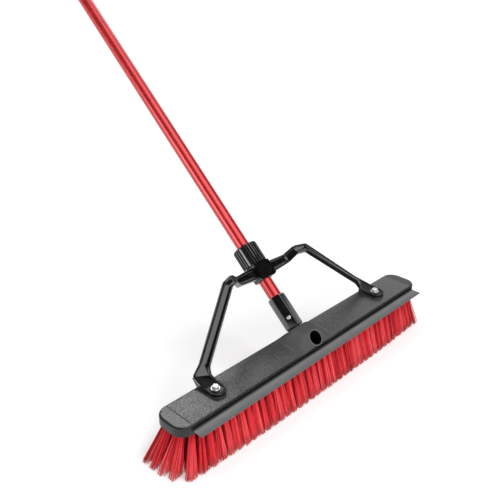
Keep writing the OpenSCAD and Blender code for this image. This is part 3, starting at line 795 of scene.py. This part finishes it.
def sockets():
    """The low ring round the free socket, and both threaded sockets with a countersink."""
    side = RING_H - 0.3
    ring = [(RING_IN, -1), (RING_OUT, -1), (RING_OUT, side)]
    ring += [(RING_OUT - 0.3, RING_H), (RING_IN + 1.3, RING_H), (RING_IN, side)]
    r = SOCKET_R
    bore = [(0, -SOCKET_DEPTH), (r - 0.2, -SOCKET_DEPTH)]
    for k in range(THREAD_TURNS):
        s = 1 - SOCKET_DEPTH + THREAD_PITCH * k
        bore += [(r, s), (r + THREAD_H, s + 0.7), (r + THREAD_H, s + 1.7), (r, s + 2.4)]
    bore += [(r, -SINK_DEPTH), (SINK_R, 0), (SINK_R, 8), (0, 8)]
    # Turned a little, so that no edge of the cut falls on an edge of the ring or the block
    turned = Matrix.Rotation(0.021, 4, "Z")
    cut = Shape()
    for mouth in (HANDLE, FREE_SOCKET):
        cut.add(*revolve(bore, 70), mouth @ turned)
    return [("UNION", Shape().add(*revolve(ring, 72), FREE_SOCKET)), ("DIFFERENCE", cut)]


def strip_slots():
    """The shadow groove above the strip and the slot that holds the strip."""
    half, face = (BLOCK_L - STRIP_SHORT) / 2, -BLOCK_W / 2
    groove = box(-half, half, face - 2, face + 4.5, SLOT_Z + 2.1, SLOT_Z + 5.7)
    slot = box(-half - SEAT, half + SEAT, face - 2, face + 11, SLOT_Z - 1.62, SLOT_Z + 1.62)
    return [("DIFFERENCE", Shape().add(*cut)) for cut in (groove, slot)]


def mark_block(mesh):
    """Where the block is grained, on the saddle, deep in a socket or on the free socket's lip."""
    grain, saddle, deep, lip = [], [], [], []
    for v in mesh.vertices:
        x, y, z = v.co / MM
        d = inside(x, y)
        on_top = d > GRAIN_INSET and z > GRAIN_Z and abs(x) < BLOCK_L / 2 - END_PANEL
        # The saddle's share also sets where the material paints the saddle paler as light.
        near = 1 - smooth(FADE_START, FADE_END, abs(x)) if d > 1 and z > PAD_BASE + 1 else 0.0
        grain.append((1 - 0.6 * near) if on_top else 0.0)
        saddle.append(near)
    to_handle = HANDLE.inverted()
    for face in mesh.polygons:
        x, y, z = face.center / MM
        both = [to_handle @ Vector((x, side * y, z)) for side in (1, -1)]
        near = min(both, key=lambda q: q.xy.length)
        away = near.xy.length
        # Faces inside a socket, which the material colours near black as painted shade.
        deep.append(1.0 if away < SINK_R - 0.05 and -SOCKET_DEPTH - 1 < near.z < 0.2 else 0.0)
        # Faces of that ring, which the material colours paler as a painted highlight.
        lip.append(1.0 if y < 0 and away < RING_OUT + 0.2 and near.z > 0.1 else 0.0)
    mark(mesh, "grain", "POINT", grain)
    mark(mesh, "saddle", "POINT", saddle)
    mark(mesh, "deep", "FACE", deep)
    mark(mesh, "lip", "FACE", lip)


def make_block():
    mesh = boolean(block_shell(), foot_pads() + sockets() + strip_slots(), 32)
    mark_block(mesh)
    place("block_body", mesh, "block", "head", "block_grey", "block")


# Fasteners of the feet
SCREW_CORNER = 5.77
WASHER_T = 1.4


def make_fasteners():
    """Hexagon screws with a dished head, and their washers."""
    base = TOE_Z + TOE_T
    top = base + WASHER_T
    polar = hexagon(SCREW_CORNER, 12, 0.6, 4)
    rings = [round_at(polar, top + s, r) for s, r in ((-17, 0), (-17, 3), (0, 3))]
    flanks = ((0.01, 5.0), (0.3, 9), (3.5, 9), (4.0, 5.25), (4.4, 4.7), (4.6, 4.2))
    dish = ((4.6, 3.2), (4.35, 2.9), (4.3, 0))
    rings += [around(polar, top + s, limit) for s, limit in flanks + dish]
    screw = loft(rings, closed_ends=False)
    edge = [(7.2, base), (7.5, base + 0.3), (7.5, top - 0.4), (7.1, top)]
    washer = revolve([(3.3, base)] + edge + [(3.3, top)], 56)
    screws, washers = Shape(), Shape()
    for x in (FOOT_X, -FOOT_X):
        at = Matrix.Translation((x, FOOT_Y, 0))
        screws.add(*screw, at)
        washers.add(*washer, at)
    place("foot_screws", screws.mesh("foot_screws", sharp=30), "zinc", "head", "zinc", "brace_screws")
    place("foot_washers", washers.mesh("foot_washers", sharp=40), "zinc", "head", "zinc", "brace_washers")


# Pieces turned or stacked round the handle
# Ribs left out at each smooth panel, the middle of the first panel in degrees, points round the nut
RIB_GAP = 3
RIB_TURN = -140
NUT_POINTS = RIBS * 18
# Distances from a rib's middle to its edge and foot, and to where a panel starts and is full
RIB_EDGE = 0.6
RIB_FOOT = 1.4
PANEL_EDGE = 3.1
PANEL_FULL = 4.0
GROOVE_H = RIB_H + 0.9
PANEL_H = 1.3


def make_nut():
    """Nut with two groups of ribs, parted by two smooth panels, and a stepped bore."""
    r, top = NUT_D / 2 - RIB_H, NUT_D / 2
    kept = [i for i in range(RIBS) if i % (RIBS // 2) >= RIB_GAP]
    places = [math.radians(RIB_TURN + (i - (RIB_GAP - 1) / 2) * 360 / RIBS) for i in kept]

    def outer(a):
        near = min(abs(math.remainder(a - p, 2 * math.pi)) for p in places) * r
        groove = GROOVE_H * smooth(RIB_EDGE, RIB_FOOT, near)
        return top - groove + PANEL_H * smooth(PANEL_EDGE, PANEL_FULL, near)

    turns = [2 * math.pi * j / NUT_POINTS for j in range(NUT_POINTS)]
    polar = [(a, outer(a)) for a in turns]
    limits = [(0, 1.0), (0.3, 0.5), (0.9, 0), (NUT_L - 3.4, 0), (NUT_L - 2.6, 0.15), (NUT_L - 1.6, 0.7),
              (NUT_L - 0.8, 1.5), (NUT_L - 0.2, 2.6), (NUT_L, 3.6)]
    rings = [around(polar, NUT_S + s, top - cut) for s, cut in limits]
    grip, tube = NECK_TOP - NUT_S + RUN, TUBE_R + RUN
    neck = HUB_D / 2 + 0.2
    hole = [(NUT_L, tube), (NUT_L - 2.5, tube)]
    seat = [(NUT_L - 2.8, 13.6), (grip + 2.5, 15.9), (grip, neck), (0, neck)]
    rings += [round_at(polar, NUT_S + s, q) for s, q in hole + seat]
    shape = Shape().add(*loft(rings + [rings[0]], closed_ends=False), HANDLE)
    mesh = shape.mesh("nut_body", sharp=40)
    to_handle = HANDLE.inverted()
    away = [(to_handle @ (v.co / MM)).xy.length for v in mesh.vertices]
    mark(mesh, "rib", "POINT", [smooth(r - 0.7, r + 0.7, q) for q in away])
    place("nut_body", mesh, "nut", "nut", "nut_black", "clamp_nut")


def make_tube():
    top = HANDLE_L - CAP_END
    outer = [(TUBE_R, TUBE_FOOT + (top - TUBE_FOOT) * k / 12) for k in range(13)]
    tube = revolve([(TUBE_BORE_R, TUBE_FOOT)] + outer + [(TUBE_BORE_R, top)], 96)
    mesh = Shape().add(*tube, HANDLE).mesh("tube_body")
    place("tube_body", mesh, "tube", "handle", "tube_red", "handle_tube")


def make_ferrule():
    """Hexagonal sleeve with rounded ends, and a threaded stud below it."""
    polar = hexagon(FERRULE_AF / math.sqrt(3), FERRULE_TURN, 1.6, 7)
    ends = ((0, 13.6), (0.25, 14.1), (0.9, 14.75), (1.6, 15.4), (2.4, 20))
    rings = [round_at(polar, RUN, 0), round_at(polar, RUN, STUD_R)]
    rings += [around(polar, RUN + s, limit) for s, limit in ends]
    rings += [around(polar, RUN + FERRULE_L - s, limit) for s, limit in reversed(ends)]
    bore, floor = TUBE_R + SEAT, TUBE_FOOT - RUN
    rings += [round_at(polar, RUN + s, q) for s, q in ((FERRULE_L, bore), (floor, bore), (floor, 0))]
    shape = Shape().add(*loft(rings, closed_ends=False), HANDLE)
    stud = [(0, RUN + 0.5), (STUD_R, RUN + 0.5), (STUD_R, -1)]
    root = STUD_R - 0.9
    for k in range(THREAD_TURNS):
        s = -1.6 - THREAD_PITCH * k
        stud += [(STUD_R, s), (root, s - 0.7), (root, s - 1.7), (STUD_R, s - 2.4)]
    stud += [(STUD_R - 0.8, -STUD_L), (0, -STUD_L)]
    shape.add(*revolve(stud, 48), HANDLE)
    mesh = shape.mesh("ferrule_body", sharp=30)
    place("ferrule_body", mesh, "ferrule", "handle", "ferrule_black", "handle_ferrule")


def make_ferrule_screw():
    """Domed screw with a dimple, square to one flat of the ferrule."""
    level = Matrix.Translation((0, 0, FERRULE_SCREW_S + RUN))
    spin = Matrix.Rotation(math.radians(FERRULE_TURN + 210), 4, "Z")
    outward = Matrix.Rotation(math.pi / 2, 4, "Y")
    flat = FERRULE_AF / 2
    shank = [(0, 6 - flat), (1.75, 6 - flat), (1.75, 0)]
    dome = [(3.8, 0), (3.8, 0.5), (3.5, 1.15), (2.7, 1.7), (1.5, 2.0)]
    dimple = [(1.3, 1.95), (0.9, 0.9), (0, 0.8)]
    screw = revolve([(r, flat + s) for r, s in shank + dome + dimple], 32)
    shape = Shape().add(*screw, HANDLE @ level @ spin @ outward)
    mesh = shape.mesh("ferrule_screw_body", sharp=40)
    place("ferrule_screw_body", mesh, "zinc", "handle", "zinc", "ferrule_screw")


def make_cap():
    """Cap over the tube's top end, with a groove near its rim and a rounded end."""
    inner, base, round_r = TUBE_R + SEAT, HANDLE_L - CAP_END, 6
    r = inner + 1.6
    centre = HANDLE_L - round_r
    cap = [(0, base + SEAT), (inner, base + SEAT), (inner, base - 30), (r - 0.5, base - 30), (r, base - 29.5)]
    cap += [(r, base - 26), (r - 0.35, base - 25.6), (r - 0.35, base - 24.6), (r, base - 24.2), (r, centre)]
    arc = [math.radians(a) for a in range(9, 91, 9)]
    cap += [(r - round_r + round_r * math.cos(a), centre + round_r * math.sin(a)) for a in arc]
    cap += [(0, HANDLE_L)]
    mesh = Shape().add(*revolve(cap, 72), HANDLE).mesh("cap_body", sharp=40)
    place("cap_body", mesh, "cap", "handle", "cap_black", "handle_cap")


# Bristles: every tuft is a bundle of fine strands that leave one hole and spread to the tips
# How far the end tufts of a row reach out, and how far forward its tips are pushed
END_REACH = {-2: 22.0, -1: 27.0, 0: 50.0, 1: 36.0, 2: 47.0}
PUSHED = {-2: 6.0, -1: 4.0, 0: 0.0, 1: 0.0, 2: 0.0}
PUSH_L = 290.0
# Tufts of the inner rows nearer to the middle than this stand in the shade of the outer rows
SHADE_X = 274.0
CLUMPS = 14
GATHER = 0.12
ROOT_R = 3.9
ROOT_Z = UNDER_Z + 1.0
TIP_HALF_Y = 6.4
STRAND_SIDES = 3
STRAND_STEPS = 4
GOLDEN_ANGLE = 2.399963
FULL_TURN = 6.283


def fanned(x, row):
    """Where a tuft at x ends, with the fan at the row's ends."""
    start = TUFT_PITCH * TUFTS_LONG / 2 - FAN_L
    u = max(0.0, abs(x) - start) / FAN_L
    return x + math.copysign(END_REACH[row] * u * u, x)


class Strands:
    """Thin prisms in metres, with the place along the strand and the tone of every point."""

    def __init__(self):
        self.verts, self.faces, self.along, self.tone = [], [], [], []

    def add(self, root, tip, bow, thick, twist, own, shaded):
        base = len(self.verts)
        for i in range(STRAND_STEPS + 1):
            t = i / STRAND_STEPS
            swell = math.sin(math.pi * t)
            x, y = (root[n] + (tip[n] - root[n]) * t + bow[n] * swell for n in (0, 1))
            z = ROOT_Z + (tip[2] - ROOT_Z) * t
            w = thick * (1 + 0.2 * t) if i < STRAND_STEPS else 0.85 * thick
            for j in range(STRAND_SIDES):
                a = twist + j * 2 * math.pi / STRAND_SIDES
                self.verts.append(((x + w * math.cos(a)) * MM, (y + w * math.sin(a)) * MM, z * MM))
                self.along.append(t)
                # Painted shade: strands in the shade of the outer rows darken strongly towards the root, the
                # others a little.
                self.tone.append(own * (0.06 + 0.94 * t ** 3 if shaded else 1 - 0.6 * (1 - t) ** 4))
        for i in range(STRAND_STEPS):
            low = base + i * STRAND_SIDES
            high = low + STRAND_SIDES
            for j in range(STRAND_SIDES):
                q = (j + 1) % STRAND_SIDES
                self.faces.append((low + j, high + j, high + q, low + q))
        end = base + STRAND_STEPS * STRAND_SIDES
        self.faces.append(tuple(end + j for j in reversed(range(STRAND_SIDES))))
        self.faces.append(tuple(base + j for j in range(STRAND_SIDES)))

    def mesh(self, name):
        """The mesh, with a map for baking that holds tone across and place along upward."""
        mesh = bpy.data.meshes.new(name)
        mesh.from_pydata(self.verts, [], self.faces)
        mark(mesh, "along", "POINT", self.along)
        mark(mesh, "tone", "POINT", self.tone)
        for polygon in mesh.polygons:
            polygon.use_smooth = len(polygon.vertices) == 4
        uv = mesh.uv_layers.new(name="OFBake").data
        for loop in mesh.loops:
            i = loop.vertex_index
            uv[loop.index].uv = (0.02 + 0.96 * self.tone[i], 0.01 + 0.98 * self.along[i])
        return mesh


def tuft(out, rng, row, x0, strands):
    """One tuft: strands in a sunflower pattern, gathered in clumps and squared at the tips."""
    y0, y1 = row * ROW_PITCH, row * ROW_PITCH * ROW_SPREAD
    edge = cad_hi.x / MM - 0.6
    left, right = fanned(x0 - TUFT_PITCH / 2, row), fanned(x0 + TUFT_PITCH / 2, row)
    x1 = (left + right) / 2 + rng.uniform(-0.8, 0.8)
    half_x = (right - left) / 2 * 0.96
    y1 -= PUSHED[row] * (1 - min(1.0, abs(x0) / PUSH_L) ** 3)
    shade = rng.uniform(-0.06, 0.06)
    shaded = abs(row) < 2 and abs(x0) < SHADE_X
    spots = [(math.sqrt(rng.random()) * 0.9, rng.uniform(0, FULL_TURN)) for _ in range(CLUMPS)]
    clumps = [(r * math.cos(a), r * math.sin(a), rng.gauss(0, 0.35), rng.gauss(0, 0.11)) for r, a in spots]
    for s in range(strands):
        r = math.sqrt((s + 0.5) / strands)
        a = s * GOLDEN_ANGLE + rng.uniform(-0.2, 0.2)
        u, v = r * math.cos(a), r * math.sin(a)
        cu, cv, drop, tint = min(clumps, key=lambda c: (c[0] - u) ** 2 + (c[1] - v) ** 2)
        square = max(abs(math.cos(a)), abs(math.sin(a))) ** -0.7
        tu, tv = square * (u + (cu - u) * GATHER), square * (v + (cv - v) * GATHER)
        x = min(edge, max(-edge, x1 + half_x * tu + rng.gauss(0, 0.3)))
        y = y1 + TIP_HALF_Y * tv + rng.gauss(0, 0.3)
        z = max(0.0, 0.8 + drop + rng.gauss(0, 0.3))
        bow = rng.gauss(0, 0.25), rng.gauss(0, 0.25)
        thick = rng.uniform(0.4, 0.5)
        # Painted shade: strands at the sides of a tuft get a darker tone.
        own = clamp01(rng.gauss(0.56, 0.16) + shade + tint - 0.14 * abs(u) ** 3)
        twist = rng.uniform(0, FULL_TURN)
        out.add((x0 + ROOT_R * u, y0 + ROOT_R * v), (x, y, z), bow, thick, twist, own, shaded)


def bristle_row(name, row, node, strands):
    rng = random.Random(1000 + row)
    tufts = TUFTS_LONG - (1 if row % 2 == 0 else 0)
    out = Strands()
    for k in range(tufts):
        tuft(out, rng, row, (k - (tufts - 1) / 2) * TUFT_PITCH, strands)
    place(name, out.mesh(name), "bristle", "head", "bristle_red", node)


make_block()
make_brace()
make_fasteners()
make_nut()
make_tube()
make_ferrule()
make_ferrule_screw()
make_cap()
for name, row, node, strands in (
    ("tufts_front", -2, "bristles_front", 120),
    ("tufts_front_mid", -1, "bristles_front_mid", 84),
    ("tufts_middle", 0, "bristles_middle", 84),
    ("tufts_rear_mid", 1, "bristles_rear_mid", 84),
    ("tufts_rear", 2, "bristles_rear", 110),
):
    bristle_row(name, row, node, strands)


# Floor, world and lights, in metres
class Tree:
    """A small helper for the floor's and the world's nodes."""

    def __init__(self, owner):
        owner.use_nodes = True
        self.nodes, self.links = owner.node_tree.nodes, owner.node_tree.links
        self.nodes.clear()

    def add(self, kind, values=(), **props):
        node = self.nodes.new(kind)
        for key, value in props.items():
            setattr(node, key, value)
        for key, value in dict(values).items():
            node.inputs[key].default_value = value
        return node

    def link(self, a, b):
        self.links.new(a, b)

    def step(self, value, a, b, c, d):
        limits = {"From Min": a, "From Max": b, "To Min": c, "To Max": d}
        node = self.add("ShaderNodeMapRange", limits, interpolation_type="SMOOTHSTEP")
        self.link(value, node.inputs["Value"])
        return node.outputs["Result"]

    def larger(self, a, b):
        node = self.add("ShaderNodeMath", operation="MAXIMUM")
        self.link(a, node.inputs[0])
        self.link(b, node.inputs[1])
        return node.outputs[0]

    def blend(self, factor, a, b):
        node = self.add("ShaderNodeMixShader")
        self.link(factor, node.inputs[0])
        self.link(a, node.inputs[1])
        self.link(b, node.inputs[2])
        return node.outputs[0]


FLOOR_HALF = 30.0
FLOOR_Z = -0.0005


def make_floor():
    """Pale floor that keeps the shadow and turns white away from the broom."""
    mesh = bpy.data.meshes.new("floor")
    s = FLOOR_HALF
    mesh.from_pydata([(-s, -s, 0), (s, -s, 0), (s, s, 0), (-s, s, 0)], [], [(0, 1, 2, 3)])
    floor = bpy.data.objects.new("floor", mesh)
    floor.location.z = FLOOR_Z
    scene.collection.objects.link(floor)
    mat = bpy.data.materials.new("floor_white")
    t = Tree(mat)
    plain = t.add("ShaderNodeBsdfDiffuse", {"Color": (0.8, 0.8, 0.8, 1)})
    glow = t.add("ShaderNodeEmission")
    where = t.add("ShaderNodeTexCoord")
    away = t.add("ShaderNodeVectorMath", operation="LENGTH")
    t.link(where.outputs["Object"], away.inputs[0])
    t.link(t.step(away.outputs["Value"], 0.4, 3.0, 0.34, 0.85), glow.inputs["Strength"])
    both = t.add("ShaderNodeAddShader")
    t.link(plain.outputs[0], both.inputs[0])
    t.link(glow.outputs[0], both.inputs[1])
    path = t.add("ShaderNodeLightPath")
    mirrored = t.larger(path.outputs["Is Glossy Ray"], path.outputs["Is Transmission Ray"])
    seen = t.larger(path.outputs["Is Camera Ray"], mirrored)
    out = t.add("ShaderNodeOutputMaterial")
    t.link(t.blend(seen, plain.outputs[0], both.outputs[0]), out.inputs["Surface"])
    mesh.materials.append(mat)


# Soft panels seen only in reflections: direction, cosines of the outer and inner edge, strength
PANELS = (
    ((0.02, -0.53, 0.84), 0.87, 0.91, 2.3),
    ((0.6, 0.15, 0.78), 0.95, 0.98, 1.4),
    ((0.85, 0.4, 0.42), 0.94, 0.98, 1.3),
    ((-0.98, 0.18, 0.04), 0.94, 0.97, 5.0),
)


def make_world():
    """White for the camera, plain soft light, and for reflections a room pale low down and dark above."""
    world = bpy.data.worlds.new("studio")
    scene.world = world
    t = Tree(world)
    light = t.add("ShaderNodeBackground", {"Color": (1, 1, 1, 1), "Strength": 0.42})
    white = t.add("ShaderNodeBackground", {"Color": (1, 1, 1, 1), "Strength": 1.0})
    room = t.add("ShaderNodeBackground", {"Strength": 1.0})
    coord = t.add("ShaderNodeTexCoord")
    height = t.add("ShaderNodeSeparateXYZ")
    t.link(coord.outputs["Generated"], height.inputs[0])
    glow = t.step(height.outputs["Z"], 0.22, 0.36, 0.9, 0.03)
    for aim, outer, inner, strength in PANELS:
        dot = t.add("ShaderNodeVectorMath", operation="DOT_PRODUCT")
        dot.inputs[1].default_value = Vector(aim).normalized()
        t.link(coord.outputs["Generated"], dot.inputs[0])
        glow = t.larger(glow, t.step(dot.outputs["Value"], outer, inner, 0.0, strength))
    t.link(glow, room.inputs["Color"])
    path = t.add("ShaderNodeLightPath")
    mirrored = t.larger(path.outputs["Is Glossy Ray"], path.outputs["Is Transmission Ray"])
    out = t.add("ShaderNodeOutputWorld")
    mixed = t.blend(mirrored, light.outputs[0], room.outputs[0])
    t.link(t.blend(path.outputs["Is Camera Ray"], mixed, white.outputs[0]), out.inputs["Surface"])


def softbox(name, direction, distance, size, power, diffuse=True, aim=(0, 0.1, 0.15)):
    """A lamp for diffuse light only or, with diffuse off, for reflections only."""
    aim = Vector(aim)
    data = bpy.data.lights.new(name, "AREA")
    data.shape = "RECTANGLE"
    data.size, data.size_y = size
    data.energy = power
    lamp = bpy.data.objects.new(name, data)
    lamp.location = aim + Vector(direction).normalized() * distance
    lamp.rotation_mode = "QUATERNION"
    lamp.rotation_quaternion = (aim - lamp.location).to_track_quat("-Z", "Y")
    lamp.visible_diffuse = diffuse
    lamp.visible_glossy = not diffuse
    lamp.visible_camera = False
    scene.collection.objects.link(lamp)


make_floor()
make_world()
softbox("key", (0.2, -0.5, 0.82), 2.4, (1.3, 1.0), 22)
softbox("front", (-0.62, -0.74, 0.25), 2.6, (1.4, 0.9), 38)
softbox("top", (-0.25, 0.35, 1.0), 2.6, (1.6, 1.6), 14)
softbox("rear", (0.72, 0.97, 0.97), 1.55, (0.42, 0.42), 5.6, diffuse=False, aim=(-0.26, 0, 0.09))
